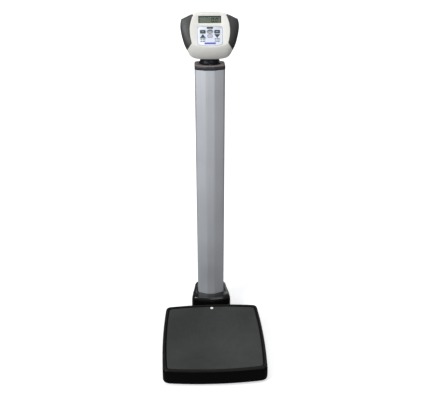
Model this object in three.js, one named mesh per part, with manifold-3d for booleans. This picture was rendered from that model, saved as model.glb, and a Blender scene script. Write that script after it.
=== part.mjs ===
// A digital physician scale: a low platform, a column behind it and a display head that swivels.
// Millimetres, +Z up. Someone who faces the column looks along +Y and has +X on the right.

import Module from "manifold-3d";
import * as THREE from "three";
import { mergeVertices } from "three/addons/utils/BufferGeometryUtils.js";

const wasm = await Module();
wasm.setup();

// Driving dimensions. Heights are above the floor, and Y is counted from the platform's centre.
const GAP = 0.3; // between pieces that touch
const WALL = 3.2; // moulded shells
const SIDE_BOW = 6; // how far the platform's long sides bow outward
const END_BOW = 9.3;

const FOOT_AT = 142; // each foot's distance from both centre lines
const FRAME_FLOOR = 17;
const FRAME_TOP = 20; // the top of the base frame's plate
const DECK_UNDER = 54.5;
const DECK_TOP = 57.5;
const MAT_BED = 61; // the floor of the cover's recess
const MAT_TOP = 64.1;
const COVER_TOP = 66.2;
const COVER_HALF = 181.5;
const MAT_HALF = 166;
const SKIRT_LOW = 11;
const VIAL_AT = 157; // Y of the level vial
const VIAL_RADIUS = 8.4;
const DECK_TRAVEL_ROOM = 0.6;

const COLUMN_AT = 263; // Y of the column's axis
const COLUMN_HALF_WIDTH = 49.8;
const COLUMN_FRONT = 42; // from the column's axis to its front
const COLUMN_BACK = 34;
const COLUMN_LOW = 26.6;
const COLUMN_TOP = 958.5;
const COLUMN_WALL = 2.5;
const CAP_TOP = 974;
const SHROUD_FRONT = 184.5;
const SHROUD_TOP = 85;
const TONGUE_HALF_WIDTH = 54;
const NOTCH_HALF_WIDTH = 58; // openings in the cover and the shroud for the tongue
const NOTCH_TOP = 42;

const STEM_RADIUS = 10;
const STEM_BORE = 7;
const HEAD_LOW = 993;
const HEAD_TILT = THREE.MathUtils.degToRad(22); // the face leans back by this much
const FACE_AT = new THREE.Vector3(0, 237, 1092.2); // the origin of the face's own frame
const SEAM_AT = 262; // Y of the upright plane where the head's shells meet
const GRIP_SKIN = 2.6;
const BACKING = 5.2; // depth of the wall behind the grips

// The face's frame: x to the right, y up along the face, z out of it.
const faceMatrix = new THREE.Matrix4()
  .makeRotationX(Math.PI / 2 - HEAD_TILT)
  .setPosition(FACE_AT);

// The rear wall's frame, at the middle of the battery door: x to -X, y up the wall, z out of it.
const REAR_LOW = new THREE.Vector2(311, 1006); // Y and Z of the rear wall's ends
const REAR_HIGH = new THREE.Vector2(292, 1118);
const DOOR_CENTRE_UP = 0.375; // the door's centre as a share of the rear wall
const rearUp = REAR_HIGH.clone().sub(REAR_LOW).normalize();
const rearAt = REAR_LOW.clone().lerp(REAR_HIGH, DOOR_CENTRE_UP);
const rearMatrix = new THREE.Matrix4()
  .makeBasis(
    new THREE.Vector3(-1, 0, 0),
    new THREE.Vector3(0, rearUp.x, rearUp.y),
    new THREE.Vector3(0, rearUp.y, -rearUp.x),
  )
  .setPosition(0, rearAt.x, rearAt.y);

// ---- Solids -------------------------------------------------------------------------------

function solid(geometry) {
  const bare = geometry.clone();
  bare.deleteAttribute("normal");
  bare.deleteAttribute("uv");
  const merged = mergeVertices(bare, 1e-4);
  const index = merged.index.array;
  const triangles = [];
  for (let i = 0; i < index.length; i += 3) {
    const [a, b, c] = [index[i], index[i + 1], index[i + 2]];
    if (a !== b && b !== c && c !== a) triangles.push(a, b, c);
  }
  const vertProperties = new Float32Array(merged.attributes.position.array);
  const triVerts = new Uint32Array(triangles);
  return new wasm.Manifold(new wasm.Mesh({ numProp: 3, vertProperties, triVerts }));
}

function surface(body) {
  const mesh = body.getMesh();
  const geometry = new THREE.BufferGeometry();
  geometry.setAttribute("position", new THREE.BufferAttribute(mesh.vertProperties, 3));
  geometry.setIndex(new THREE.BufferAttribute(mesh.triVerts, 1));
  geometry.computeVertexNormals();
  return geometry;
}

const join = (...bodies) => bodies.reduce((all, body) => all.add(body));
const cut = (body, ...tools) => tools.reduce((left, tool) => left.subtract(tool), body);
const common = (...bodies) => bodies.reduce((all, body) => all.intersect(body));

function block(x0, x1, y0, y1, z0, z1) {
  const box = new THREE.BoxGeometry(x1 - x0, y1 - y0, z1 - z0);
  return solid(box.translate((x0 + x1) / 2, (y0 + y1) / 2, (z0 + z1) / 2));
}

function rod(radius, z0, z1, x = 0, y = 0, sides = 16) {
  const cylinder = new THREE.CylinderGeometry(radius, radius, z1 - z0, sides);
  return solid(cylinder.rotateX(Math.PI / 2).translate(x, y, (z0 + z1) / 2));
}

/** A round bar across the object, centred on a point. */
function crossRod(radius, length, x, y, z) {
  const cylinder = new THREE.CylinderGeometry(radius, radius, length, 12);
  return solid(cylinder.translate(x, y, z));
}

/** A turned body from [radius, height] pairs that run up the outside from the axis. */
function turned(profile, sides = 20) {
  const points = profile.map(([radius, height]) => new THREE.Vector2(radius, height));
  return solid(new THREE.LatheGeometry(points, sides).rotateX(Math.PI / 2));
}

/** A washer or tube: a turned body with a straight bore. */
function ring(outer, inner, z0, z1, x = 0, y = 0, sides = 24) {
  return cut(rod(outer, z0, z1, x, y, sides), rod(inner, z0 - 1, z1 + 1, x, y, sides));
}

/** Moves each edge of a closed outline inward, keeping its number of points. */
function insetCorners(corners, distance) {
  return corners.map(([x, y, radius, steps], i) => {
    const before = corners.at(i - 1);
    const after = corners[(i + 1) % corners.length];
    const inward = (from, to) => new THREE.Vector2(from[1] - to[1], to[0] - from[0]).normalize();
    const first = inward(before, [x, y]);
    const second = inward([x, y], after);
    const reach = distance / (1 + first.dot(second));
    return [x + (first.x + second.x) * reach, y + (first.y + second.y) * reach, radius, steps];
  });
}

/** A smooth outline from anticlockwise [x, y, radius, steps] corners, moved inward by inset. */
function outline(corners, inset = 0) {
  const moved = insetCorners(corners, inset);
  const vertices = moved.map(([x, y]) => new THREE.Vector2(x, y));
  return moved.flatMap(([, , radius, steps = 3], i) => {
    const corner = vertices[i];
    if (!radius) return [corner];
    const towards = (k) => {
      const roundings = 1.02 * (radius + moved.at(k)[2]);
      const length = Math.max(corner.distanceTo(vertices.at(k)), roundings);
      return corner.clone().lerp(vertices.at(k), radius / length);
    };
    const start = towards(i - 1);
    const end = towards((i + 1) % vertices.length);
    return new THREE.QuadraticBezierCurve(start, corner, end).getPoints(steps);
  });
}

/** Right-hand corners from bottom to top, repeated on the left: anticlockwise, about X = 0. */
function mirrored(corners) {
  const left = corners.filter(([x]) => x > 0).map(([x, ...rest]) => [-x, ...rest]);
  return [...corners, ...left.reverse()];
}

/** A closed body through outlines with equal numbers of points: [height, outline] pairs. */
function stack(levels) {
  const count = levels[0][1].length;
  const points = levels.flatMap(([z, shape]) => shape.flatMap((p) => [p.x, p.y, z]));
  const indices = [];
  for (let level = 0; level < levels.length - 1; level++) {
    for (let i = 0; i < count; i++) {
      const low = level * count + i;
      const lowNext = level * count + ((i + 1) % count);
      indices.push(low, lowNext, lowNext + count);
      indices.push(low, lowNext + count, low + count);
    }
  }
  const top = (levels.length - 1) * count;
  const lid = (shape) => THREE.ShapeUtils.triangulateShape(shape, []);
  lid(levels[0][1]).forEach(([a, b, c]) => indices.push(a, c, b));
  lid(levels.at(-1)[1]).forEach(([a, b, c]) => indices.push(top + a, top + b, top + c));
  const geometry = new THREE.BufferGeometry();
  geometry.setAttribute("position", new THREE.Float32BufferAttribute(points, 3));
  geometry.setIndex(indices);
  return solid(geometry);
}

const prism = (shape, z0, z1) => stack([[z0, shape], [z1, shape]]);

/** A prism with its own matrix, for shapes drawn in another plane. */
function prismIn(matrix, shape, z0, z1) {
  return solid(surface(prism(shape, z0, z1)).applyMatrix4(matrix));
}

function placed(matrix, body) {
  return solid(surface(body).applyMatrix4(matrix));
}

// ---- The scene graph ----------------------------------------------------------------------

const scale = new THREE.Group();

const face = new THREE.Group();
face.applyMatrix4(faceMatrix);
scale.add(face);

const rear = new THREE.Group();
rear.applyMatrix4(rearMatrix);
scale.add(rear);

const tower = new THREE.Group(); // stands on the column's axis
tower.position.y = COLUMN_AT;
scale.add(tower);

function add(name, body, color, roughness, metalness, parent = scale) {
  const material = new THREE.MeshStandardMaterial({ color, roughness, metalness });
  const mesh = new THREE.Mesh(surface(body), material);
  mesh.name = name;
  parent.add(mesh);
  return mesh;
}

// ---- Platform -----------------------------------------------------------------------------

/** The platform's outline, bowed on all four sides, at a half size measured at mid-side. */
function platformOutline(half, corner = 12) {
  const x = half - SIDE_BOW;
  const y = half - END_BOW;
  const sideReach = y - corner;
  const endReach = x - corner;
  return outline([
    [0, -y - 2 * END_BOW, endReach, 6],
    [x, -y, corner, 3],
    [x + 2 * SIDE_BOW, 0, sideReach, 6],
    [x, y, corner, 3],
    [0, y + 2 * END_BOW, endReach, 6],
    [-x, y, corner, 3],
    [-x - 2 * SIDE_BOW, 0, sideReach, 6],
    [-x, -y, corner, 3],
  ]);
}

const platformSlab = (half, z0, z1) => prism(platformOutline(half), z0, z1);
const notch = (y0, y1) => block(-NOTCH_HALF_WIDTH, NOTCH_HALF_WIDTH, y0, y1, 0, NOTCH_TOP);
const vialHole = (radius) => rod(radius, 40, 80, 0, VIAL_AT);
const quarters = [-1, 1].flatMap((x) => [-1, 1].map((y) => [x, y]));
const BOLT_X = 40;
const BOLT_Y = [COLUMN_AT - 25, COLUMN_AT + 27];
const boltPlaces = [-BOLT_X, BOLT_X].flatMap((x) => BOLT_Y.map((y) => [x, y]));
const BOLT_RADIUS = 4;

function baseFrame() {
  const lipTop = 32;
  const half = 165;
  const back = COLUMN_AT + 38;
  const front = 150;
  const side = TONGUE_HALF_WIDTH;
  const tray = cut(platformSlab(half, FRAME_FLOOR, lipTop), platformSlab(half - 3, FRAME_TOP, 40));
  const tongue = cut(
    block(-side, side, front, back, FRAME_FLOOR, lipTop),
    block(-side + 3, side - 3, front - 10, back + 1, FRAME_TOP, 40),
  );
  const gate = block(-side + 3, side - 3, front, half + 5, FRAME_TOP, 40);
  const nuts = quarters.map(([x, y]) => rod(9, 19, 26, x * FOOT_AT, y * FOOT_AT, 6));
  const studHoles = quarters.map(([x, y]) => rod(4.5, 0, 40, x * FOOT_AT, y * FOOT_AT));
  const boltHoles = boltPlaces.map(([x, y]) => rod(BOLT_RADIUS + GAP, 0, 40, x, y));
  return cut(join(tray, tongue, ...nuts), gate, ...studHoles, ...boltHoles);
}

function levellingFoot() {
  const pad = [[0, 0], [17, 0], [18, 1.5], [18, 5], [13, 8], [8, 9], [4, 9.5], [4, 34], [0, 34]];
  return turned(pad);
}

/** A bending-beam cell: bolted down at the inner end, loaded at the outer end. */
function loadCell(side) {
  const low = 36;
  const high = 48;
  const middle = (low + high) / 2;
  const span = (from, to) => [Math.min(side * from, side * to), Math.max(side * from, side * to)];
  const beam = block(...span(62, 130), -8, 8, low, high);
  const boss = block(...span(62, 82), -8, 8, FRAME_TOP + GAP, low);
  const button = rod(6, high, DECK_UNDER - DECK_TRAVEL_ROOM, side * 122);
  const eyes = [90, 108].map((x) => crossRod(4, 20, side * x, 0, middle));
  const slot = block(...span(90, 108), -10, 10, middle - 1.5, middle + 1.5);
  return cut(join(beam, boss, button), ...eyes, slot);
}

function junctionBoard() {
  const low = 26;
  const top = low + 1.6;
  const board = block(-40, 40, -25, 25, low, top);
  const posts = quarters.map(([x, y]) => rod(3, FRAME_TOP + GAP, low, x * 35, y * 20));
  const sockets = [-28, -10, 10, 28].map((x) => block(x - 6, x + 6, -24, -16, top - 0.5, top + 7));
  const chip = block(-9, 9, -6, 8, top - 0.5, top + 1.8);
  return join(board, ...posts, ...sockets, chip);
}

function deckPlate() {
  const half = 172;
  const pan = cut(platformSlab(half, 44, DECK_TOP), platformSlab(half - 3, 40, DECK_UNDER));
  return cut(pan, vialHole(VIAL_RADIUS + GAP));
}

function platformCover() {
  const body = stack([
    [SKIRT_LOW, platformOutline(COVER_HALF, 14)],
    [56, platformOutline(COVER_HALF - 1.5, 14)],
    [62, platformOutline(COVER_HALF - 3, 14)],
    [65, platformOutline(COVER_HALF - 5.5, 13)],
    [COVER_TOP, platformOutline(COVER_HALF - 8)],
  ]);
  const hollow = stack([
    [SKIRT_LOW - 1, platformOutline(COVER_HALF - WALL)],
    [52, platformOutline(COVER_HALF - 1.5 - WALL)],
    [DECK_TOP + GAP, platformOutline(COVER_HALF - 6)],
  ]);
  const recess = platformSlab(MAT_HALF + 3.4, MAT_BED, 80);
  const opening = notch(COVER_HALF - 20, COVER_HALF + 5);
  return cut(body, hollow, recess, opening, vialHole(VIAL_RADIUS + GAP));
}

function platformMat() {
  const mat = stack([
    [MAT_BED + GAP, platformOutline(MAT_HALF)],
    [MAT_TOP - 0.8, platformOutline(MAT_HALF)],
    [MAT_TOP, platformOutline(MAT_HALF - 0.8)],
  ]);
  return cut(mat, vialHole(VIAL_RADIUS + GAP));
}

function addPlatform() {
  add("base_frame", baseFrame(), 0x4a4d50, 0.55, 0.6);
  const corners = ["front_left", "back_left", "front_right", "back_right"];
  quarters.forEach(([x, y], i) => {
    const foot = add(`levelling_foot_${corners[i]}`, levellingFoot(), 0x1c1c1c, 0.8, 0);
    foot.position.set(x * FOOT_AT, y * FOOT_AT, 0);
    const cell = add(`load_cell_${corners[i]}`, loadCell(x), 0xb9bcc0, 0.35, 0.9);
    cell.position.y = y * FOOT_AT;
  });
  add("junction_board", junctionBoard(), 0x1e5b36, 0.6, 0);
  add("deck_plate", deckPlate(), 0x5a5d60, 0.5, 0.6);
  add("platform_cover", platformCover(), 0x101010, 0.3, 0);
  add("platform_mat", platformMat(), 0x434642, 0.85, 0);
  const cup = cut(
    rod(VIAL_RADIUS, 50, MAT_TOP + 0.6, 0, VIAL_AT),
    rod(VIAL_RADIUS - 2.6, 52, 80, 0, VIAL_AT),
  );
  add("level_vial_cup", cup, 0xf2f2ee, 0.4, 0);
  const lens = rod(VIAL_RADIUS - 2.6 - GAP, 52 + GAP, MAT_TOP + 0.4, 0, VIAL_AT);
  add("level_vial_lens", lens, 0xe8f0e4, 0.08, 0);
}

// ---- Column -------------------------------------------------------------------------------

/** The extrusion's section about its own axis: a faceted front, square sides and a flat back. */
function columnOutline(inset) {
  const front = -COLUMN_FRONT;
  const side = COLUMN_HALF_WIDTH;
  return outline(
    mirrored([
      [13.5, front, 5, 2],
      [side, front + 14.5, 9, 4],
      [side, COLUMN_BACK, 14, 4],
    ]),
    inset,
  );
}

const columnPrism = (inset, z0, z1) => prism(columnOutline(inset), z0, z1);
const cableSlot = (y0, y1, top) => block(-8, 8, y0, y1, 0, top);

function columnTube() {
  const tube = cut(
    columnPrism(0, COLUMN_LOW, COLUMN_TOP),
    columnPrism(COLUMN_WALL, COLUMN_LOW - 1, COLUMN_TOP + 1),
  );
  return cut(tube, cableSlot(-COLUMN_FRONT - 5, -COLUMN_FRONT + 10, 46));
}

function columnBracket() {
  const plateTop = FRAME_TOP + GAP + 6;
  const plate = block(-50, 50, -38, 34, FRAME_TOP + GAP, plateTop);
  const post = block(-30, 30, -23, 23, plateTop - 1, 200);
  const bore = block(-27, 27, -20, 20, 0, 210);
  const holes = boltPlaces.map(([x, y]) => rod(BOLT_RADIUS + GAP, 0, 40, x, y - COLUMN_AT));
  return cut(join(plate, post), bore, cableSlot(-30, -15, 60), ...holes);
}

function bracketBolt() {
  const headTop = FRAME_FLOOR - GAP;
  return join(rod(7, headTop - 5, headTop, 0, 0, 6), rod(BOLT_RADIUS, headTop - 1, 26, 0, 0, 16));
}

// The shroud's plan about the column's axis: round in front, drawn in towards the back.
const SHROUD_PLAN = mirrored([
  [0, SHROUD_FRONT - COLUMN_AT, 22, 3],
  [41, SHROUD_FRONT - COLUMN_AT + 4.5, 14, 2],
  [76, SHROUD_FRONT - COLUMN_AT + 17, 12, 3],
  [72, -20, 18, 2],
  [65, 14, 14, 2],
  [62.5, 40, 10, 2],
  [46, 54, 12, 3],
]);
// How far the plan draws in at each height.
const SHROUD_LEVELS = [
  [SKIRT_LOW, 0],
  [64, 0],
  [74, 1],
  [80, 3],
  [83.5, 5.5],
  [SHROUD_TOP, 8.5],
];

function columnShroud() {
  const body = stack(SHROUD_LEVELS.map(([z, inset]) => [z, outline(SHROUD_PLAN, inset)]));
  const hollow = stack(
    SHROUD_LEVELS.map(([z, inset]) => [
      z === SKIRT_LOW ? z - 1 : z - WALL,
      outline(SHROUD_PLAN, inset + WALL),
    ]),
  );
  const front = SHROUD_FRONT - COLUMN_AT;
  const well = columnPrism(-0.5, 60, 100);
  return cut(body, hollow, well, notch(front - 10, front + 16));
}

function columnCap() {
  const band = stack([
    [COLUMN_TOP + GAP, columnOutline(-0.2)],
    [CAP_TOP - 3.5, columnOutline(-0.2)],
    [CAP_TOP - 0.8, columnOutline(1.5)],
    [CAP_TOP, columnOutline(5)],
  ]);
  const spigot = columnPrism(COLUMN_WALL + GAP, 942, COLUMN_TOP + 2);
  const hollow = columnPrism(COLUMN_WALL + 3, 940, CAP_TOP - WALL);
  return cut(join(band, spigot), hollow, rod(STEM_RADIUS + GAP, 900, 1000));
}

/** The cable from the junction board, through the column and the stem, to the head. */
function signalCable() {
  const radius = 2.6;
  const route = new THREE.CatmullRomCurve3([
    new THREE.Vector3(0, -238, 31),
    new THREE.Vector3(0, -140, 29),
    new THREE.Vector3(0, -60, 29),
    new THREE.Vector3(0, -22, 38),
    new THREE.Vector3(0, -3, 80),
    new THREE.Vector3(0, 0, 200),
    new THREE.Vector3(0, 0, 600),
    new THREE.Vector3(0, 0, 1002),
  ]);
  const section = Array.from({ length: 6 }, (_, i) => {
    const turn = (i / 6) * 2 * Math.PI;
    return new THREE.Vector2(radius * Math.cos(turn), radius * Math.sin(turn));
  });
  const sweep = { steps: 30, extrudePath: route };
  return solid(new THREE.ExtrudeGeometry(new THREE.Shape(section), sweep));
}

function addColumn() {
  add("column", columnTube(), 0xb4b9bf, 0.35, 0.9, tower);
  add("column_bracket", columnBracket(), 0x4a4d50, 0.55, 0.6, tower);
  boltPlaces.forEach(([x, y], i) => {
    const bolt = add(`bracket_bolt_${i + 1}`, bracketBolt(), 0x9a9da0, 0.35, 0.9);
    bolt.position.set(x, y, 0);
  });
  add("column_shroud", columnShroud(), 0x0c0c0c, 0.12, 0, tower);
  add("column_cap", columnCap(), 0x4c4744, 0.6, 0, tower);
  add("signal_cable", signalCable(), 0x2a2a2a, 0.6, 0, tower);
}

// ---- Swivel -------------------------------------------------------------------------------

function swivelStem() {
  const flangeTop = CAP_TOP - WALL - GAP;
  const tube = join(rod(STEM_RADIUS, 955, 1007), rod(15, flangeTop - 3, flangeTop));
  return cut(tube, rod(STEM_BORE, 900, 1100));
}

function addSwivel() {
  const bore = STEM_RADIUS + GAP;
  const discTop = CAP_TOP + GAP + 4;
  const neckLow = discTop + GAP;
  const disc = cut(
    ring(35.5, bore, CAP_TOP + GAP, discTop),
    block(-3, 3, -40, -34, 0, 1100),
  );
  const cone = new THREE.CylinderGeometry(31, 34, HEAD_LOW - GAP - neckLow, 40);
  cone.rotateX(Math.PI / 2).translate(0, 0, (HEAD_LOW - GAP + neckLow) / 2);
  const washerLow = HEAD_LOW + WALL + GAP;
  add("swivel_disc", disc, 0x0e1218, 0.35, 0, tower);
  add("swivel_stem", swivelStem(), 0xa8abae, 0.3, 0.9, tower);
  add("neck", cut(solid(cone), rod(bore, 900, 1100)), 0x10141a, 0.4, 0, tower);
  add("swivel_washer", ring(17, bore, washerLow, washerLow + 1.2), 0xe0ddd2, 0.5, 0, tower);
  const nutLow = washerLow + 1.2 + GAP;
  const nut = cut(rod(15, nutLow, nutLow + 6, 0, 0, 6), rod(bore, 900, 1100));
  add("swivel_nut", nut, 0xa8abae, 0.3, 0.9, tower);
}

// ---- Head ---------------------------------------------------------------------------------

const HEAD_FRONT_VIEW = mirrored([
  [0, 991, 0],
  [62, 994, 16, 3],
  [83, 1046, 20, 2],
  [93, 1090, 18, 3],
  [89.5, 1114, 4, 2],
  [54, 1129, 24, 2],
  [0, 1137.5, 26, 2],
]);
const HEAD_SIDE_VIEW = [
  [230, HEAD_LOW, 5, 2],
  [300, HEAD_LOW, 8, 2],
  [REAR_LOW.x, REAR_LOW.y, 8, 2],
  [REAR_HIGH.x, REAR_HIGH.y, 9, 2],
  [279, 1131, 8, 2],
  [253.7, 1133.6, 5, 2],
  [213.5, 1034.2, 6, 2],
];
const HEAD_TOP_VIEW = mirrored([
  [94, 200, 0],
  [94, 262, 18, 2],
  [76, 300, 16, 2],
  [60, 320, 0],
]);

const standing = new THREE.Matrix4().makeRotationX(Math.PI / 2).setPosition(0, 330, 0);
const sideways = new THREE.Matrix4().makeBasis(
  new THREE.Vector3(0, 1, 0),
  new THREE.Vector3(0, 0, 1),
  new THREE.Vector3(1, 0, 0),
);

/** The head's outer form, moved inward by inset: three views crossed with each other. */
function headForm(inset) {
  return common(
    prismIn(standing, outline(HEAD_FRONT_VIEW, inset), 0, 140),
    prismIn(sideways, outline(HEAD_SIDE_VIEW, inset), -100, 100),
    prism(outline(HEAD_TOP_VIEW, inset), 950, 1150),
  );
}

const facePrism = (shape, z0, z1) => prismIn(faceMatrix, shape, z0, z1);
const faceBox = (...limits) => placed(faceMatrix, block(...limits));
const rearBox = (...limits) => placed(rearMatrix, block(...limits));
const rearRod = (...size) => placed(rearMatrix, rod(...size));

const GRIP_CORNERS = [
  [54, 60, 0],
  [61, 18, 15, 3],
  [66, -14, 15, 3],
  [57, -49, 3, 2],
  [74, -78, 0],
  [110, -78, 0],
  [110, 60, 0],
];
const GRIP_BACK = SEAM_AT - 3;

/** The space that one grip takes, grown by a margin; side is 1 on the right and -1 on the left. */
function gripZone(side, margin) {
  const flipped = GRIP_CORNERS.map(([x, ...rest]) => [side * x, ...rest]);
  const corners = side > 0 ? flipped : flipped.reverse();
  const infront = block(-120, 120, 150, GRIP_BACK + margin, 950, 1200);
  return common(facePrism(outline(corners, -margin), -70, 40), infront);
}

/** A round bar along Y, for the screws that hold the head's shells together. */
function screwRod(radius, y0, y1, x, z, sides) {
  const cylinder = new THREE.CylinderGeometry(radius, radius, y1 - y0, sides);
  return solid(cylinder.translate(x, (y0 + y1) / 2, z));
}

const SCREWS = [[-62, 1100], [62, 1100], [-40, 1012.5], [40, 1012.5]]; // X and Z
const SCREW_SEAT = 276; // Y of the screw heads' undersides
const onScrews = (radius, y0, y1, sides) =>
  SCREWS.map(([x, z]) => screwRod(radius, y0, y1, x, z, sides));
const WINDOW = { x: 37, low: 10.5, high: 35 };
const LABEL = mirrored([
  [0, -61, 30, 4],
  [40, -55, 6, 3],
  [40, 1.5, 6, 3],
]);
const oval = (width, height, x, y, sides = 18) =>
  Array.from({ length: sides }, (_, i) => {
    const turn = (i / sides) * 2 * Math.PI;
    return new THREE.Vector2(x + (width / 2) * Math.cos(turn), y + (height / 2) * Math.sin(turn));
  });
const roundedBox = (width, height, x, y, radius) =>
  outline([
    [x - width / 2, y - height / 2, radius, 2],
    [x + width / 2, y - height / 2, radius, 2],
    [x + width / 2, y + height / 2, radius, 2],
    [x - width / 2, y + height / 2, radius, 2],
  ]);
/** A key that points up, or down where up is -1. */
function triangle(x, y, up, half, rise) {
  const base = y - up * rise * 0.8;
  return outline([
    [x - up * half, base, 2, 2],
    [x + up * half, base, 2, 2],
    [x, y + up * rise * 0.9, 2, 2],
  ]);
}

/** Each key's outline on the face, larger by a margin on every side. */
const KEYS = {
  key_clear: (m) => roundedBox(19.6 + 2 * m, 5.4 + 2 * m, 0, -2.9, 2),
  key_power: (m) => oval(20.6 + 2 * m, 13.2 + 2 * m, 0, -14.4),
  key_units: (m) => roundedBox(16.2 + 2 * m, 10 + 2 * m, 0, -27.9, 3.5),
  key_zero: (m) => roundedBox(17.4 + 2 * m, 10.6 + 2 * m, -22.4, -14.7, 2.5),
  key_hold: (m) => roundedBox(17.4 + 2 * m, 10.6 + 2 * m, 22.4, -14.7, 2.5),
  key_up: (m) => triangle(-22.4, -28, 1, 9 + 1.8 * m, 6.8 + 1.8 * m),
  key_down: (m) => triangle(22.4, -27.7, -1, 9 + 1.8 * m, 6.7 + 1.8 * m),
};
const KEY_CLEARANCE = 0.4;
const keyHoles = () => Object.values(KEYS).map((shape) => prism(shape(KEY_CLEARANCE), -10, 10));

const stemHole = () => rod(STEM_RADIUS + GAP, HEAD_LOW - 10, HEAD_LOW + 10, 0, COLUMN_AT);

function headFrontShell() {
  const outer = headForm(0);
  const front = block(-120, 120, 150, SEAM_AT, 950, 1200);
  const zones = (margin) => join(gripZone(-1, margin), gripZone(1, margin));
  const skin = cut(common(outer, front), headForm(WALL), zones(GAP));
  const backing = common(cut(headForm(GRIP_SKIN + GAP), headForm(BACKING)), zones(2.5));
  const bosses = common(join(...onScrews(4, 200, SEAM_AT, 10)), headForm(GRIP_SKIN + GAP));
  const pilots = onScrews(1.8, SEAM_AT - 16, SEAM_AT + 5, 8);
  const window = faceBox(-WINDOW.x, WINDOW.x, WINDOW.low, WINDOW.high, -10, 10);
  const labelBed = facePrism(outline(LABEL, -GAP), -0.8, 10);
  const holes = keyHoles().map((hole) => placed(faceMatrix, hole));
  const openings = [window, labelBed, stemHole(), ...holes];
  return cut(join(skin, backing, bosses), ...pilots, ...openings);
}

const DOOR = { x: 52, y: 25 };
const JACK_AT = [-62, -4];

function headRearShell() {
  const back = block(-120, 120, SEAM_AT + GAP, 350, 950, 1200);
  const shell = cut(common(headForm(0), back), headForm(WALL));
  const towers = common(join(...onScrews(5.5, SEAM_AT + GAP, 350, 12)), headForm(1));
  const bores = onScrews(1.8, 250, 300, 8);
  const wells = onScrews(3.8, SCREW_SEAT, 350, 12);
  const door = rearBox(-DOOR.x - 0.4, DOOR.x + 0.4, -DOOR.y - 0.4, DOOR.y + 0.4, -6, 5);
  const jack = rearRod(5.8, -20, 10, ...JACK_AT);
  return cut(join(shell, towers), ...bores, ...wells, door, jack, stemHole());
}

function mainBoard() {
  const back = -9.4;
  const frontFace = back + 1.6;
  const board = block(-52, 52, -54, 32, back, frontFace);
  const switches = Object.values(KEYS).map((shape) => prism(shape(-1.2), back + 1, frontFace + 0.6));
  const chips = [
    block(-12, 12, -20, 4, back - 2, back + 1),
    block(-44, -26, -10, 6, back - 3, back + 1),
    block(24, 44, 10, 22, back - 7, back + 1),
  ];
  return join(board, ...switches, ...chips);
}

function batteryTray() {
  const { x, y } = { x: DOOR.x + 1.6, y: DOOR.y + 1.2 };
  const outside = block(-x, x, -y, y, -22, -WALL - GAP);
  const inside = block(-x + 1.2, x - 1.2, -y + 1.2, y - 1.2, -20.6, 0);
  return cut(outside, inside);
}

function batteryCell() {
  const half = 25;
  const can = turned([[0, -half], [7, -half], [7, half - 1], [2.7, half - 1], [2.7, half], [0, half]], 20);
  return placed(new THREE.Matrix4().makeRotationY(Math.PI / 2), can);
}

function addHead() {
  add("head_front_shell", headFrontShell(), 0xe4e0d6, 0.45, 0);
  add("head_rear_shell", headRearShell(), 0xe4e0d6, 0.45, 0);
  const skin = cut(headForm(0), headForm(GRIP_SKIN));
  add("grip_left", common(skin, gripZone(-1, 0)), 0x5c5c5e, 0.6, 0);
  add("grip_right", common(skin, gripZone(1, 0)), 0x3a3a3a, 0.6, 0);
  addFace();
  addRear();
}

function addFace() {
  const { x, low, high } = WINDOW;
  const pane = block(-x + GAP, x - GAP, low + GAP, high - GAP, -2.4, -0.5);
  add("display_window", pane, 0x8a948a, 0.05, 0, face);
  add("lcd_panel", block(-38, 38, 9, 31.8, -7.4, -3.6), 0x69766a, 0.3, 0, face);
  const label = cut(prism(outline(LABEL), -0.5, 0.1), ...keyHoles());
  add("keypad_label", label, 0xdfe3f2, 0.45, 0, face);
  Object.entries(KEYS).forEach(([name, shape]) => {
    add(name, prism(shape(0), -6.4, 0.9), 0x3c4650, 0.5, 0, face);
  });
  add("main_board", mainBoard(), 0x1e5b36, 0.6, 0, face);
  SCREWS.forEach(([sx, sz], i) => {
    const head = screwRod(3.3, SCREW_SEAT + GAP, SCREW_SEAT + 2.8, sx, sz, 12);
    const shank = screwRod(1.4, SEAM_AT - 13, SCREW_SEAT + 1, sx, sz, 8);
    add(`head_screw_${i + 1}`, join(head, shank), 0xa8abae, 0.3, 0.9);
  });
}

function addRear() {
  add("battery_tray", batteryTray(), 0x1a1a1a, 0.6, 0, rear);
  const columns = [-25.8, 25.8];
  const rows = [-15.2, 0, 15.2];
  columns.flatMap((x) => rows.map((y) => [x, y])).forEach(([x, y], i) => {
    const cell = add(`battery_${i + 1}`, batteryCell(), 0x2f6f8f, 0.35, 0.4, rear);
    cell.position.set(x, y, -12.8);
  });
  const door = block(-DOOR.x, DOOR.x, -DOOR.y, DOOR.y, -2.6, 0);
  add("battery_door", door, 0xdedace, 0.5, 0, rear);
  const jack = join(rod(5.4, -14, 0.8, ...JACK_AT), rod(6.3, -5, -WALL - GAP, ...JACK_AT));
  add("power_jack", cut(jack, rod(3.1, -9, 5, ...JACK_AT)), 0x141414, 0.4, 0, rear);
}

addPlatform();
addColumn();
addSwivel();
addHead();

// The origin is on the floor, in the middle of the footprint.
const bounds = new THREE.Box3().setFromObject(scale);
scale.position.y = -(bounds.min.y + bounds.max.y) / 2;

export default scale;
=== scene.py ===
"""The looks of a digital physician scale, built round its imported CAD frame.

Shapes are worked out in millimetres about the platform's centre, as on the drawing:
X to the right for someone who faces the column, Y back, Z up. TO_FRAME brings them into the frame.
"""

import math

import bmesh
import bpy
from mathutils import Matrix, Vector
from mathutils.geometry import delaunay_2d_cdt


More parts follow.
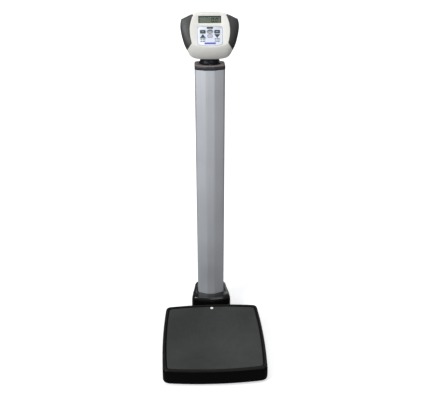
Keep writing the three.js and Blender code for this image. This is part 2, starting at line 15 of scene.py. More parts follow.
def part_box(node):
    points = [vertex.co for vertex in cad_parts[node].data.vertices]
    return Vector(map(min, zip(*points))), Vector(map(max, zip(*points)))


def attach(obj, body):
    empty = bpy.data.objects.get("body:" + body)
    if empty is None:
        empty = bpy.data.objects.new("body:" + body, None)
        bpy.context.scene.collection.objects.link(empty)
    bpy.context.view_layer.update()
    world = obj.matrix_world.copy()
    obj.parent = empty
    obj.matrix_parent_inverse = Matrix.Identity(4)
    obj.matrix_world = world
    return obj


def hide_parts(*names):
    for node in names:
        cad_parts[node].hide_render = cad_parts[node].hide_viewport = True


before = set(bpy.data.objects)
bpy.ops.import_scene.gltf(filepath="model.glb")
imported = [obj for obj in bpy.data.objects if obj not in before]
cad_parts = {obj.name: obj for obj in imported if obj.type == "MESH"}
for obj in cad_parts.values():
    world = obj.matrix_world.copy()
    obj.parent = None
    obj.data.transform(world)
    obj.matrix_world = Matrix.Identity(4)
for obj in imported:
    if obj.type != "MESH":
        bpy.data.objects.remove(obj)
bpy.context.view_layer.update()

MM = 0.001


def middle(node):
    low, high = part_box(node)
    return (low + high) / 2


PLATFORM_Y = middle("platform_mat").y
TO_FRAME = Matrix.Translation((0, PLATFORM_Y, 0)) @ Matrix.Scale(MM, 4)


def drawn(node, corner, axis):
    """One coordinate of a CAD node's box, in millimetres about the platform's centre."""
    point = TO_FRAME.inverted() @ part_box(node)[corner]
    return point[axis]


LOW, HIGH = 0, 1
X, Y, Z = 0, 1, 2

# Driving dimensions, from the frame where it holds them.
SIDE_BOW = 6
END_BOW = 9.3
MAT_HALF = 166
COVER_HALF = 181.5
BRIDGE_HALF, BRIDGE_TOP = 58, 42  # the passage between platform and column
SHELL_WALL = 2.6
MAT_TOP = drawn("platform_mat", HIGH, Z)
COVER_TOP = drawn("platform_cover", HIGH, Z)
SKIRT_LOW = drawn("platform_cover", LOW, Z)
COLUMN_Y = (drawn("swivel_disc", LOW, Y) + drawn("swivel_disc", HIGH, Y)) / 2
COLUMN_LOW = drawn("column", LOW, Z)
COLUMN_TOP = drawn("column", HIGH, Z)
COLUMN_HALF_WIDTH = drawn("column", HIGH, X)
COLUMN_FRONT = drawn("column", LOW, Y) - COLUMN_Y
COLUMN_BACK = drawn("column", HIGH, Y) - COLUMN_Y
CAP_TOP = drawn("column_cap", HIGH, Z)
SHROUD_FRONT = drawn("column_shroud", LOW, Y) - COLUMN_Y
DISC_TOP = drawn("swivel_disc", HIGH, Z)
NECK_TOP = drawn("neck", HIGH, Z)
HEAD_LOW = drawn("head_rear_shell", LOW, Z)
VIAL_Y = (drawn("level_vial_cup", LOW, Y) + drawn("level_vial_cup", HIGH, Y)) / 2
VIAL_RADIUS = drawn("level_vial_cup", HIGH, X)

HEAD_TILT = math.radians(22)
FACE_AT = Vector((0, 237, 1092.2))
FACE = Matrix.Translation(FACE_AT) @ Matrix.Rotation(math.pi / 2 - HEAD_TILT, 4, "X")
SEAM_Y = 262
REAR_LOW = Vector((311, 1006))
REAR_HIGH = Vector((292, 1118))
REAR_UP = (REAR_HIGH - REAR_LOW).normalized()
REAR_MIDDLE = REAR_LOW.lerp(REAR_HIGH, 0.375)


def rear_frame():
    """From the rear wall's own plane, seen from behind, to the drawing."""
    across = Vector((-1, 0, 0))
    up = Vector((0, REAR_UP.x, REAR_UP.y))
    out = Vector((0, REAR_UP.y, -REAR_UP.x))
    turn = Matrix((across, up, out)).transposed().to_4x4()
    return Matrix.Translation((0, REAR_MIDDLE.x, REAR_MIDDLE.y)) @ turn


REAR = rear_frame()
HERE = Matrix.Identity(4)
TOWER = Matrix.Translation((0, COLUMN_Y, 0))


# ---- Materials ----------------------------------------------------------------------------


def srgb(*channels):
    """A colour given as 0-255 screen values, made linear."""

    def linear(value):
        share = value / 255
        return share / 12.92 if share <= 0.04045 else ((share + 0.055) / 1.055) ** 2.4

    return tuple(linear(c) for c in channels)


class Nodes:
    """A small writer of material nodes."""

    def __init__(self, name):
        self.material = bpy.data.materials.new(name)
        self.material.use_nodes = True
        self.tree = self.material.node_tree
        self.shader = self.tree.nodes["Principled BSDF"]
        self.place = self.add("ShaderNodeTexCoord").outputs["Object"]

    def add(self, kind, **values):
        node = self.tree.nodes.new(kind)
        for key, value in values.items():
            setattr(node, key, value)
        return node

    def link(self, output, target):
        self.tree.links.new(output, target)

    def set(self, **values):
        for key, value in values.items():
            self.shader.inputs[key.replace("_", " ")].default_value = value

    def stretched(self, scale):
        mapping = self.add("ShaderNodeMapping")
        mapping.inputs["Scale"].default_value = scale
        self.link(self.place, mapping.inputs["Vector"])
        return mapping.outputs["Vector"]

    def noise(self, scale, detail=3.0, where=None):
        node = self.add("ShaderNodeTexNoise")
        node.inputs["Scale"].default_value = scale
        node.inputs["Detail"].default_value = detail
        self.link(where or self.place, node.inputs["Vector"])
        return node.outputs["Fac"]

    def spread(self, value, low, high, start=0.3, end=0.7):
        node = self.add("ShaderNodeMapRange")
        node.inputs["From Min"].default_value = start
        node.inputs["From Max"].default_value = end
        node.inputs["To Min"].default_value = low
        node.inputs["To Max"].default_value = high
        self.link(value, node.inputs["Value"])
        return node.outputs["Result"]

    def tint(self, fac, first, second):
        node = self.add("ShaderNodeMix", data_type="RGBA")
        node.inputs["A"].default_value = (*first, 1)
        node.inputs["B"].default_value = (*second, 1)
        self.link(fac, node.inputs["Factor"])
        return node.outputs["Result"]

    def bump(self, height, distance, strength=1.0):
        node = self.add("ShaderNodeBump")
        node.inputs["Strength"].default_value = strength
        node.inputs["Distance"].default_value = distance
        self.link(height, node.inputs["Height"])
        return node.outputs["Normal"]


def moulded(name, color, roughness, grain=0.00008, pitch=900, vary=0.12, specular=0.5):
    """Moulded plastic or rubber: fine grain, a little unevenness in tone and in sheen."""
    n = Nodes(name)
    shade = [c * (1 - vary) for c in color]
    light = [min(1.0, c * (1 + vary)) for c in color]
    n.link(n.tint(n.spread(n.noise(9, 4), 0, 1), shade, light), n.shader.inputs["Base Color"])
    low, high = roughness * 0.85, min(1.0, roughness * 1.15)
    n.link(n.spread(n.noise(35, 4), low, high), n.shader.inputs["Roughness"])
    n.link(n.bump(n.noise(pitch, 2), grain), n.shader.inputs["Normal"])
    n.set(Specular_IOR_Level=specular)
    return n.material


def satin_black():
    """The cover's black: deep on the skirt, with a painted greyer sheen in uneven patches on the top of
    the rim, a painted highlight for the light it catches from above.
    """
    n = Nodes("satin_black")
    place = n.add("ShaderNodeSeparateXYZ")
    n.link(n.place, place.inputs["Vector"])
    sheen_patches = n.spread(n.noise(55, 6), 0.6, 1.0)
    # The cover's top, from 60.5 to 65.5 mm up, is painted a greyer black in uneven patches: painted
    # highlight, not scuffs.
    rim_low, rim_high = 0.0605, 0.0655
    rim = n.add("ShaderNodeMath", operation="MULTIPLY")
    n.link(n.spread(place.outputs["Z"], 0, 1, rim_low, rim_high), rim.inputs[0])
    n.link(sheen_patches, rim.inputs[1])
    wear_and_painted_sheen = rim.outputs["Value"]
    deep, rim_sheen_black = (0.001, 0.0009, 0.0008), (0.012, 0.0105, 0.009)
    n.link(n.tint(wear_and_painted_sheen, deep, rim_sheen_black), n.shader.inputs["Base Color"])
    n.link(n.spread(wear_and_painted_sheen, 0.32, 0.46, 0, 1), n.shader.inputs["Roughness"])
    n.link(n.bump(n.noise(1400, 2), 0.00006), n.shader.inputs["Normal"])
    n.set(Specular_IOR_Level=0.1)
    return n.material


def gloss_black():
    """Polished black moulding: faint ripple, finger smudges in the sheen."""
    n = Nodes("gloss_black")
    black, smudged = (0.002, 0.002, 0.002), (0.006, 0.0055, 0.005)
    n.link(n.tint(n.noise(20), black, smudged), n.shader.inputs["Base Color"])
    n.link(n.spread(n.noise(28, 6), 0.07, 0.2, 0.35, 0.75), n.shader.inputs["Roughness"])
    n.link(n.bump(n.noise(60, 2), 0.00015, 0.25), n.shader.inputs["Normal"])
    n.set(Specular_IOR_Level=0.45)
    return n.material


def brushed(name, color, roughness, along=(900, 900, 3)):
    """Drawn or brushed metal with fine lines along one axis."""
    n = Nodes(name)
    lines = n.noise(1, 3, n.stretched(along))
    shade = [c * 0.93 for c in color]
    n.link(n.tint(n.spread(lines, 0, 1), shade, color), n.shader.inputs["Base Color"])
    n.link(n.spread(n.noise(6, 4), roughness * 0.9, roughness * 1.12), n.shader.inputs["Roughness"])
    n.link(n.bump(lines, 0.00003), n.shader.inputs["Normal"])
    n.set(Metallic=1.0)
    return n.material


def mat_rubber():
    """The mat's dull rubber, unevenly worn."""
    n = Nodes("mat_rubber")
    wear_and_painted_sheen = n.spread(n.noise(5, 5), 0, 1, 0.35, 0.65)
    n.link(n.tint(wear_and_painted_sheen, srgb(47, 50, 47), srgb(59, 62, 59)), n.shader.inputs["Base Color"])
    n.link(n.spread(n.noise(18, 4), 0.68, 0.86), n.shader.inputs["Roughness"])
    n.link(n.bump(n.noise(1500, 2), 0.00012), n.shader.inputs["Normal"])
    n.set(Specular_IOR_Level=0.3)
    return n.material


def clear(name, tone, alpha):
    """A thin clear window: mostly see-through, with a real gloss."""
    n = Nodes(name)
    n.link(n.tint(n.noise(30), tone, [c * 0.94 for c in tone]), n.shader.inputs["Base Color"])
    n.link(n.spread(n.noise(40, 5), 0.03, 0.075), n.shader.inputs["Roughness"])
    n.set(Alpha=alpha, Specular_IOR_Level=0.4)
    return n.material


def circuit_board():
    """Green board with paler square-cornered tracks."""
    n = Nodes("circuit_board")
    cells = n.add("ShaderNodeTexVoronoi", distance="CHEBYCHEV")
    cells.inputs["Scale"].default_value = 260
    n.link(n.place, cells.inputs["Vector"])
    tracks = n.spread(cells.outputs["Distance"], 0, 1, 0.35, 0.5)
    n.link(n.tint(tracks, srgb(22, 78, 44), srgb(44, 122, 70)), n.shader.inputs["Base Color"])
    n.link(n.spread(n.noise(60), 0.35, 0.55), n.shader.inputs["Roughness"])
    n.link(n.bump(tracks, 0.00005), n.shader.inputs["Normal"])
    return n.material


def battery_sleeve():
    """The cells' blue metallic sleeve."""
    n = Nodes("battery_sleeve")
    patches = n.spread(n.noise(12), 0, 1)
    n.link(n.tint(patches, srgb(35, 90, 120), srgb(50, 115, 150)), n.shader.inputs["Base Color"])
    n.link(n.spread(n.noise(50), 0.25, 0.4), n.shader.inputs["Roughness"])
    n.set(Metallic=0.5)
    return n.material


MAT = {
    "mat": mat_rubber(),
    "cover": satin_black(),
    "gloss": gloss_black(),
    "alu": brushed("satin_aluminium", srgb(224, 226, 230), 0.62),
    "cap": moulded("cap_plastic", srgb(124, 114, 109), 0.62, grain=0.0001, pitch=1300, specular=0.35),
    "band": moulded("band_plastic", srgb(54, 57, 62), 0.5, pitch=1300, specular=0.25),
    "neck": moulded("neck_plastic", srgb(12, 17, 24), 0.42, specular=0.2),
    "head": moulded("head_plastic", srgb(221, 219, 213), 0.42, grain=0.00007, pitch=1100, vary=0.03),
    "grip": moulded("grip_rubber", srgb(48, 48, 47), 0.5, grain=0.00008, pitch=1600, specular=0.6),
    "label": moulded("label_film", srgb(214, 220, 232), 0.4, grain=0.00003, pitch=1800, vary=0.02),
    "ink": moulded("grey_ink", srgb(74, 78, 88), 0.5, vary=0.05),
    "blue_ink": moulded("blue_ink", srgb(98, 96, 182), 0.5, vary=0.05),
    "key_dark": moulded("key_dark", srgb(48, 62, 74), 0.45, pitch=1500),
    "key_grey": moulded("key_grey", srgb(146, 149, 156), 0.45, pitch=1500),
    "key_pale": moulded("key_pale", srgb(184, 181, 194), 0.45, pitch=1500),
    "lcd": moulded("lcd_glass", srgb(112, 124, 106), 0.3, grain=0.000002, vary=0.03),
    "lcd_ink": moulded("lcd_ink", srgb(14, 20, 14), 0.4, vary=0.05),
    "lcd_rim_and_painted_shadow": moulded("lcd_rim_and_painted_shadow", srgb(38, 44, 42), 0.5),
    "pane": clear("window_pane", (0.05, 0.06, 0.05), 0.1),
    "vial": moulded("vial_white", srgb(246, 246, 242), 0.3, vary=0.02),
    "vial_lens": clear("vial_lens", (0.97, 0.99, 0.93), 0.2),
    "rubber": moulded("foot_rubber", srgb(26, 26, 26), 0.8, grain=0.0002, pitch=700),
    "steel": brushed("zinc_steel", srgb(180, 182, 184), 0.3, along=(300, 300, 300)),
    "cell": brushed("machined_aluminium", srgb(196, 199, 203), 0.28, along=(6, 900, 900)),
    "paint": moulded("painted_steel", srgb(74, 77, 80), 0.5, grain=0.00015, pitch=500),
    "board": circuit_board(),
    "dark": moulded("black_plastic", srgb(24, 24, 26), 0.5),
    "nylon": moulded("nylon", srgb(224, 221, 210), 0.45),
    "battery": battery_sleeve(),
    "contact": brushed("contact_brass", srgb(206, 178, 116), 0.3, along=(400, 400, 400)),
}


# ---- Mesh tools ---------------------------------------------------------------------------


def inset_corners(corners, distance):
    """Moves every edge of an anticlockwise outline inward, keeping its number of corners."""
    moved = []
    for i, (x, y, radius, steps) in enumerate(corners):
        here = Vector((x, y))
        before = Vector(corners[i - 1][:2])
        after = Vector(corners[(i + 1) % len(corners)][:2])
        first = (here - before).orthogonal().normalized()
        second = (after - here).orthogonal().normalized()
        reach = distance / (1 + first.dot(second))
        moved.append((*(here + (first + second) * reach), radius, steps))
    return moved


def outline(corners, inset=0.0):
    """A smooth closed outline from anticlockwise (x, y, radius, steps) corners."""
    moved = inset_corners(corners, inset)
    count = len(moved)
    points = []
    for i, (x, y, radius, steps) in enumerate(moved):
        corner = Vector((x, y))
        if not radius:
            points.append(corner)
            continue
        ends = []
        for k in ((i - 1) % count, (i + 1) % count):
            other = Vector(moved[k][:2])
            length = max((other - corner).length, 1.02 * (radius + moved[k][2]))
            ends.append(corner.lerp(other, radius / length))
        for step in range(steps + 1):
            t = step / steps
            points.append(ends[0].lerp(corner, t).lerp(corner.lerp(ends[1], t), t))
    return points


def mirrored(corners):
    """Right-hand corners from bottom to top, repeated on the left."""
    left = [(-x, *rest) for x, *rest in corners if x > 0]
    return corners + left[::-1]


def circle(radius, sides, x=0.0, y=0.0):
    turns = [2 * math.pi * i / sides for i in range(sides)]
    return [Vector((x + radius * math.cos(t), y + radius * math.sin(t))) for t in turns]


def rounded_box(width, height, x, y, radius):
    half_x, half_y, steps = width / 2, height / 2, 5
    signs = ((-1, -1), (1, -1), (1, 1), (-1, 1))
    return outline([(x + a * half_x, y + b * half_y, radius, steps) for a, b in signs])


def loft(rings, start_cap=True, end_cap=True):
    """Vertices and faces through rings of equal point count."""
    count = len(rings[0])
    verts = [Vector(p) for ring in rings for p in ring]
    faces = []
    for level in range(len(rings) - 1):
        for i in range(count):
            a = level * count + i
            b = level * count + (i + 1) % count
            faces.append((a, b, b + count, a + count))
    if start_cap:
        faces.append(tuple(range(count))[::-1])
    if end_cap:
        last = (len(rings) - 1) * count
        faces.append(tuple(range(last, last + count)))
    return verts, faces


def flat(shape, z):
    return [(p.x, p.y, z) for p in shape]


def lathe(profile, sides=64, x=0.0, y=0.0):
    """A turned body from (radius, height) pairs that start and end near the axis."""
    return loft([flat(circle(max(radius, 0.05), sides, x, y), z) for radius, z in profile])


def prism(shape, z0, z1):
    return loft([flat(shape, z0), flat(shape, z1)])


def block(x0, x1, y0, y1, z0, z1):
    return prism([Vector(p) for p in ((x0, y0), (x1, y0), (x1, y1), (x0, y1))], z0, z1)


def joined(*parts):
    verts, faces = [], []
    for part_verts, part_faces in parts:
        start = len(verts)
        verts += part_verts
        faces += [tuple(start + i for i in face) for face in part_faces]
    return verts, faces


def inside(point, polygon):
    """Whether a point is inside a closed 2-D polygon."""
    odd = False
    for i, a in enumerate(polygon):
        b = polygon[i - 1]
        if (a.y > point.y) != (b.y > point.y):
            cross = a.x + (point.y - a.y) * (b.x - a.x) / (b.y - a.y)
            odd ^= point.x < cross
    return odd


def patch(border, holes, lift, extra=()):
    """A lifted sheet inside a border, with holes, through extra points."""
    points, edges = [], []
    for loop in (border, *holes):
        start = len(points)
        points += loop
        edges += [(start + i, start + (i + 1) % len(loop)) for i in range(len(loop))]
    points = points + list(extra)
    made, _, triangles, *_ = delaunay_2d_cdt(points, edges, [], 0, 1e-4)
    faces = []
    for tri in triangles:
        centre = (made[tri[0]] + made[tri[1]] + made[tri[2]]) / 3
        if inside(centre, border) and not any(inside(centre, hole) for hole in holes):
            faces.append(tuple(tri))
    return [Vector(lift(p)) for p in made], faces


def new_object(name, shape, place=HERE):
    """A cleaned mesh object from a shape in the drawing, or in a plane placed in it."""
    verts, faces = shape
    mesh = bpy.data.meshes.new(name)
    matrix = TO_FRAME @ place
    mesh.from_pydata([matrix @ v for v in verts], [], faces)
    bm = bmesh.new()
    bm.from_mesh(mesh)
    bmesh.ops.remove_doubles(bm, verts=bm.verts, dist=2e-6)
    loose = [v for v in bm.verts if not v.link_faces]
    bmesh.ops.delete(bm, geom=loose, context="VERTS")
    bmesh.ops.recalc_face_normals(bm, faces=bm.faces)
    bm.to_mesh(mesh)
    bm.free()
    obj = bpy.data.objects.new(name, mesh)
    bpy.context.scene.collection.objects.link(obj)
    return obj


def settle(obj):
    """Applies every modifier of an object."""
    bpy.context.view_layer.update()
    graph = bpy.context.evaluated_depsgraph_get()
    mesh = bpy.data.meshes.new_from_object(obj.evaluated_get(graph))
    obj.modifiers.clear()
    obj.data = mesh


def carve(obj, *shapes, place=HERE):
    """Cuts closed shapes out of an object."""
    for shape in shapes:
        tool = new_object("tool", shape, place)
        cut = obj.modifiers.new("cut", "BOOLEAN")
        cut.object = tool
        cut.solver = "EXACT"
        settle(obj)
        bpy.data.objects.remove(tool)


def thicken(obj, wall, outward=0.0):
    """Gives a skin its wall, inward apart from the part that goes outward."""
    solid = obj.modifiers.new("wall", "SOLIDIFY")
    solid.thickness = wall * MM
    solid.offset = -1 + 2 * outward / wall
    solid.use_even_offset = True
    settle(obj)


def soften(obj, width, segments=3, angle=32):
    """Rounds the edges that turn by more than an angle."""
    bevel = obj.modifiers.new("edges", "BEVEL")
    bevel.width = width * MM
    bevel.segments = segments
    bevel.limit_method = "ANGLE"
    bevel.angle_limit = math.radians(angle)
    bevel.use_clamp_overlap = True
    bevel.harden_normals = True
    settle(obj)


def finish_piece(obj, material, body, replaced=(), sharp=40):
    """Gives an object its material and shading, and puts it on its body."""
    obj.data.materials.clear()
    obj.data.materials.append(MAT[material])
    obj.data.shade_smooth()
    obj.data.set_sharp_from_angle(angle=math.radians(sharp))
    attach(obj, body)
    if replaced:
        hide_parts(*replaced)


def piece(name, shape, material, body, replaced=(), place=HERE, bevel=0.0, sharp=40):
    """Makes and finishes one visible piece."""
    obj = new_object(name, shape, place)
    if bevel:
        soften(obj, bevel)
    finish_piece(obj, material, body, replaced, sharp)


# ---- Platform -----------------------------------------------------------------------------


def platform_outline(half, corner=14.0):
    """The platform's outline, bowed on all four sides, at a half size measured at mid-side."""
    x, y = half - SIDE_BOW, half - END_BOW
    return outline(
        [
            (0, -y - 2 * END_BOW, x - corner, 24),
            (x, -y, corner, 8),
            (x + 2 * SIDE_BOW, 0, y - corner, 24),
            (x, y, corner, 8),
            (0, y + 2 * END_BOW, x - corner, 24),
            (-x, y, corner, 8),
            (-x - 2 * SIDE_BOW, 0, y - corner, 24),
            (-x, -y, corner, 8),
        ]
    )


def make_cover():
    """The black cover: inner wall, skirt, rolled bead and the mat's recess, as one shell."""
    bed = MAT_TOP - 3.1
    corner, tucked, tuck_from = 14, 10, 32  # corners draw in below tuck_from, near the floor
    profile = [
        (60, bed - 3.2),
        (172, bed - 3.2),
        (176.2, bed - 7),
        (177.6, 30),
        (177.6, SKIRT_LOW + 0.5),
        (178.0, SKIRT_LOW),
        (178.9, SKIRT_LOW),
        (180.1, SKIRT_LOW + 0.6),
        (181.0, SKIRT_LOW + 1.9),
        (COVER_HALF, SKIRT_LOW + 4.0),
        (COVER_HALF, 18),
        (180.9, 36),
        (180.4, 52),
        (179.8, 57),
        (178.9, 60.6),
        (177.6, 63.4),
        (175.9, 65.3),
        (174.2, COVER_TOP),
        (172.6, COVER_TOP - 0.1),
        (171.1, COVER_TOP - 0.9),
        (170.0, COVER_TOP - 2.2),
        (169.5, bed + 1.2),
        (169.2, bed),
        (60, bed),
    ]
    rings = []
    for half, z in profile:
        tuck = max(0.0, min(1.0, (tuck_from - z) / (tuck_from - SKIRT_LOW)))
        rings.append(flat(platform_outline(half, corner + tucked * tuck), z))
    cover = new_object("platform_cover", loft(rings))
    carve(cover, block(-BRIDGE_HALF, BRIDGE_HALF, 165, 190, 0, BRIDGE_TOP))
    finish_piece(cover, "cover", "deck", ["platform_cover"], 50)


def make_mat():
    """The rubber mat, its top pressed into rows of small pyramids, with a plain border."""
    pitch, height, border = 5.2, 1.0, 3.5
    edge = platform_outline(MAT_HALF - 0.7, 9)
    field = platform_outline(MAT_HALF - border, 8)
    vial = Vector((0, VIAL_Y))
    reach = int(MAT_HALF / pitch) + 2
    knots, peaks = [], set()
    for i in range(-reach, reach + 1):
        for j in range(-reach, reach + 1):
            low = Vector((i * pitch, j * pitch))
            peak = Vector(((i + 0.5) * pitch, (j + 0.5) * pitch))
            if inside(low, field) and (low - vial).length > VIAL_RADIUS + 1:
                knots.append(low)
            if inside(peak, field) and (peak - vial).length > VIAL_RADIUS + pitch:
                knots.append(peak)
                peaks.add((round(peak.x, 2), round(peak.y, 2)))

    def lift(p):
        raised = (round(p.x, 2), round(p.y, 2)) in peaks
        return (p.x, p.y, MAT_TOP - (0 if raised else height))

    hole = circle(VIAL_RADIUS + 0.2, 40, 0, VIAL_Y)
    top = patch(edge, [hole], lift, knots)
    side = [
        flat(edge, MAT_TOP - height),
        flat(platform_outline(MAT_HALF, 9.7), MAT_TOP - height - 0.5),
        flat(platform_outline(MAT_HALF, 9.7), MAT_TOP - 3),
    ]
    mat = new_object("platform_mat", joined(top, loft(side, start_cap=False)))
    finish_piece(mat, "mat", "deck", ["platform_mat"], 60)


def make_vial():
    """The bubble level: a white cup with a rolled lip, a black ring in the recess round it as painted
    shade, the domed lens and the bubble.
    """
    top = MAT_TOP + 0.6
    r = VIAL_RADIUS
    cup = [(0, 52), (r, 52), (r, top - 5.4), (5.8, top - 5), (5.8, top - 0.7), (5.4, top - 0.1)]
    cup += [(4.9, top), (4.5, top - 0.3), (4.4, top - 1.4), (4.4, top - 1.6), (0, top - 1.6)]
    piece("level_vial_cup", lathe(cup, 48, 0, VIAL_Y), "vial", "deck", ["level_vial_cup"])
    # A black rubber ring fills the recess round the cup: painted shade for that recess.
    collar = [(5.9, top - 4.9), (r - 0.1, top - 5.3), (r - 0.1, top - 1.1), (r - 0.6, top - 0.7)]
    collar += [(6.4, top - 0.7), (5.9, top - 1.0), (5.9, top - 4.9)]
    rings = [flat(circle(reach, 48, 0, VIAL_Y), z) for reach, z in collar]
    piece("level_vial_shade_ring", loft(rings, False, False), "rubber", "deck", ())
    dome = [(0, top - 1.5), (4.3, top - 1.5), (4.3, top - 1.0), (3.6, top - 0.5)]
    dome += [(2.1, top - 0.25), (0, top - 0.15)]
    lens = lathe(dome, 48, 0, VIAL_Y)
    piece("level_vial_lens", lens, "vial_lens", "deck", ["level_vial_lens"])
    bubble = [(0, top - 1.45), (1.7, top - 1.4), (1.5, top - 1.0), (0, top - 0.8)]
    piece("level_bubble", lathe(bubble, 32, 0.8, VIAL_Y + 0.4), "vial", "deck", ())


def make_feet():
    """Four levelling feet: a ribbed rubber pad under a threaded stud with a lock nut."""
    pad = [(0, 0), (15, 0), (17, 0.5), (18, 1.6), (18, 3), (17.4, 3.4), (18, 3.8), (18, 5)]
    pad += [(16.8, 6.4), (13.2, 7.6), (12.4, 8.6), (9, 9.2), (0, 9.2)]
    crest, root, lead, turns = 4.0, 3.5, 1.3, 19
    stud = [(0, 9)]
    for turn in range(turns):
        z = 9.4 + turn * lead
        stud += [(crest, z), (root, z + lead / 2)]
    stud.append((0, 34))
    nut = prism(circle(7.4, 6), 10, 14.6)
    for corner in ("front_left", "back_left", "front_right", "back_right"):
        node = f"levelling_foot_{corner}"
        x = (drawn(node, LOW, X) + drawn(node, HIGH, X)) / 2
        y = (drawn(node, LOW, Y) + drawn(node, HIGH, Y)) / 2
        place = Matrix.Translation((x, y, 0))
        body = f"foot_{corner}"
        piece(node + "_pad", lathe(pad, 48), "rubber", body, [node], place)
        piece(node + "_stud", joined(lathe(stud, 24), nut), "steel", body, (), place)


# ---- Column -------------------------------------------------------------------------------


def column_outline(inset):
    """The column's section about its own middle: flat front, canted cheeks, rounded back."""
    front, side = COLUMN_FRONT, COLUMN_HALF_WIDTH
    corners = [(13.5, front, 3, 4), (side, front + 14.5, 9, 10), (side, COLUMN_BACK, 14, 12)]
    return outline(mirrored(corners), inset)


def make_column():
    """The aluminium extrusion as a tube with eased ends."""
    wall = 2.5
    ends = [(wall, COLUMN_LOW), (0.3, COLUMN_LOW), (0, COLUMN_LOW + 0.3)]
    ends += [(0, z) for z in (300, 600)]
    ends += [(0, COLUMN_TOP - 0.3), (0.3, COLUMN_TOP), (wall, COLUMN_TOP), (wall, COLUMN_LOW)]
    rings = [flat(column_outline(inset), z) for inset, z in ends]
    column = new_object("column", loft(rings, False, False), TOWER)
    finish_piece(column, "alu", "base", ["column"], 12)


def make_cap():
    """The cap's dark band, and its paler top with a rounded edge."""
    low = COLUMN_TOP + 0.3
    high = CAP_TOP - 3.6
    band = [(3, low), (0.2, low), (-0.2, low + 0.5), (-0.2, high - 0.5), (0.2, high), (3, high)]
    rings = [flat(column_outline(inset), z) for inset, z in band]
    piece("column_cap_band", loft(rings), "band", "base", (), TOWER, sharp=50)
    top = [(3, high), (0.4, high), (0.1, high + 0.4), (0.6, high + 1.6), (1.6, high + 2.7)]
    top += [(3.4, high + 3.3), (6, high + 3.6), (18, high + 3.6)]
    rings = [flat(column_outline(inset), z) for inset, z in top]
    piece("column_cap_top", loft(rings), "cap", "base", ["column_cap"], TOWER, sharp=50)


# Right-hand corners of the shroud's plan about the column's middle, from front to back.
SHROUD_PLAN = [
    (0, SHROUD_FRONT, 22, 8),
    (41, SHROUD_FRONT + 4.5, 16, 6),
    (76, SHROUD_FRONT + 17, 13, 10),
    (72, -20, 22, 8),
    (65, 14, 18, 6),
    (62.5, 40, 11, 8),
    (46, 54, 13, 8),
]


def make_shroud():
    """The glossy shroud: a flat ledge in front of the column, and rolled shoulders round it."""
    levels = [(11, 0.8), (11.6, 0), (40, 0), (60, 0), (66, 0.15), (70, 0.5), (74, 1.1), (77, 1.9)]
    levels += [(80, 3.1), (82, 4.3), (83.5, 5.6), (84.5, 7.0), (84.9, 8.0), (85, 9.0)]
    outer = [flat(outline(mirrored(SHROUD_PLAN), inset), z) for z, inset in levels]
    shell = loft(outer, start_cap=False, end_cap=False)
    edge = [Vector(p[:2]) for p in outer[-1]]
    ledge = patch(edge, [column_outline(-0.8)], lambda p: (p.x, p.y, 85))
    shroud = new_object("column_shroud", joined(shell, ledge), TOWER)
    thicken(shroud, 3.0)
    front = (SHROUD_FRONT - 5, SHROUD_FRONT + 16)
    carve(shroud, block(-BRIDGE_HALF, BRIDGE_HALF, *front, 0, BRIDGE_TOP), place=TOWER)
    soften(shroud, 0.6, 3, 40)
    finish_piece(shroud, "gloss", "base", ["column_shroud"], 45)


# ---- Swivel -------------------------------------------------------------------------------


def make_swivel():
    """The fixed disc with its index notch, and the neck that turns with the head."""
    low = CAP_TOP + 0.3
    bore = 10.4
    disc = [(bore, low), (34.9, low), (35.5, low + 0.5), (35.5, DISC_TOP - 0.8)]
    disc += [(34.7, DISC_TOP), (bore, DISC_TOP)]
    rings = [flat(circle(radius, 96), z) for radius, z in disc + disc[:1]]
    obj = new_object("swivel_disc", loft(rings, False, False), TOWER)
    carve(obj, block(-3, 3, -40, -34, 900, 1000), place=TOWER)
    finish_piece(obj, "neck", "base", ["swivel_disc"])
    mark = prism(rounded_box(4.6, 1.4, 0, -33.4, 0.4), DISC_TOP - 3, DISC_TOP - 1.2)
    piece("swivel_mark", mark, "ink", "base", (), TOWER)
    low = DISC_TOP + 0.3
    neck = [(bore, low), (33.4, low), (34, low + 0.6), (33.3, low + 2), (31.8, low + 5)]
    neck += [(31.2, low + 7.5), (31.2, NECK_TOP), (bore, NECK_TOP)]
    rings = [flat(circle(radius, 96), z) for radius, z in neck + neck[:1]]
    piece("neck", loft(rings, False, False), "neck", "head", ["neck"], TOWER)


# ---- Head ---------------------------------------------------------------------------------

# The right half of the front shell's outline, top centre to bottom centre, as X, Z and Y.
SILHOUETTE = [
    (0, 1133.3, 258.5),
    (30, 1132, 258),
    (54, 1127.5, 256.5),
    (88.5, 1112.5, 254.5),
    (91.8, 1099, 252),
    (91.8, 1084, 249),
    (88.8, 1066.7, 244),
    (84.5, 1050, 239),
    (79, 1034.5, 235),
    (72, 1021, 233.5),
    (63, 1005, 234),
    (53, 997.4, 234),
    (35, 994, 232.5),
    (0, HEAD_LOW, 231),
]
# The raised panel's edge in the face's own plane, at the same places.
PANEL_EDGE = [
    (0, 41.5),
    (30, 40),
    (51.5, 34.5),
    (57, 24),
    (60.5, 12),
    (62.5, -2),
    (62.8, -15),
    (61.5, -28),
    (59.5, -39),
    (56.5, -49),
    (46, -55),
    (35, -58.5),
    (21, -61.2),
    (0, -62.6),
]
# How round the fall from the panel's edge to the silhouette is at each place.
ROUNDNESS = [0.9, 0.9, 0.85, 0.7, 0.7, 0.7, 0.7, 0.7, 0.65, 0.6, 0.55, 0.5, 0.5, 0.5]
# The rear wall's edge at the same places, as X and Z.
REAR_EDGE = [
    (0, 1119),
    (26, 1118),
    (48, 1114.5),
    (71, 1102.5),
    (74.5, 1092),
    (75, 1080),
    (74, 1066),
    (72, 1050),
    (68.5, 1036),
    (64, 1023),
    (57, 1011.5),
    (48, 1006),
    (32, 1003.5),
    (0, 1003),
]
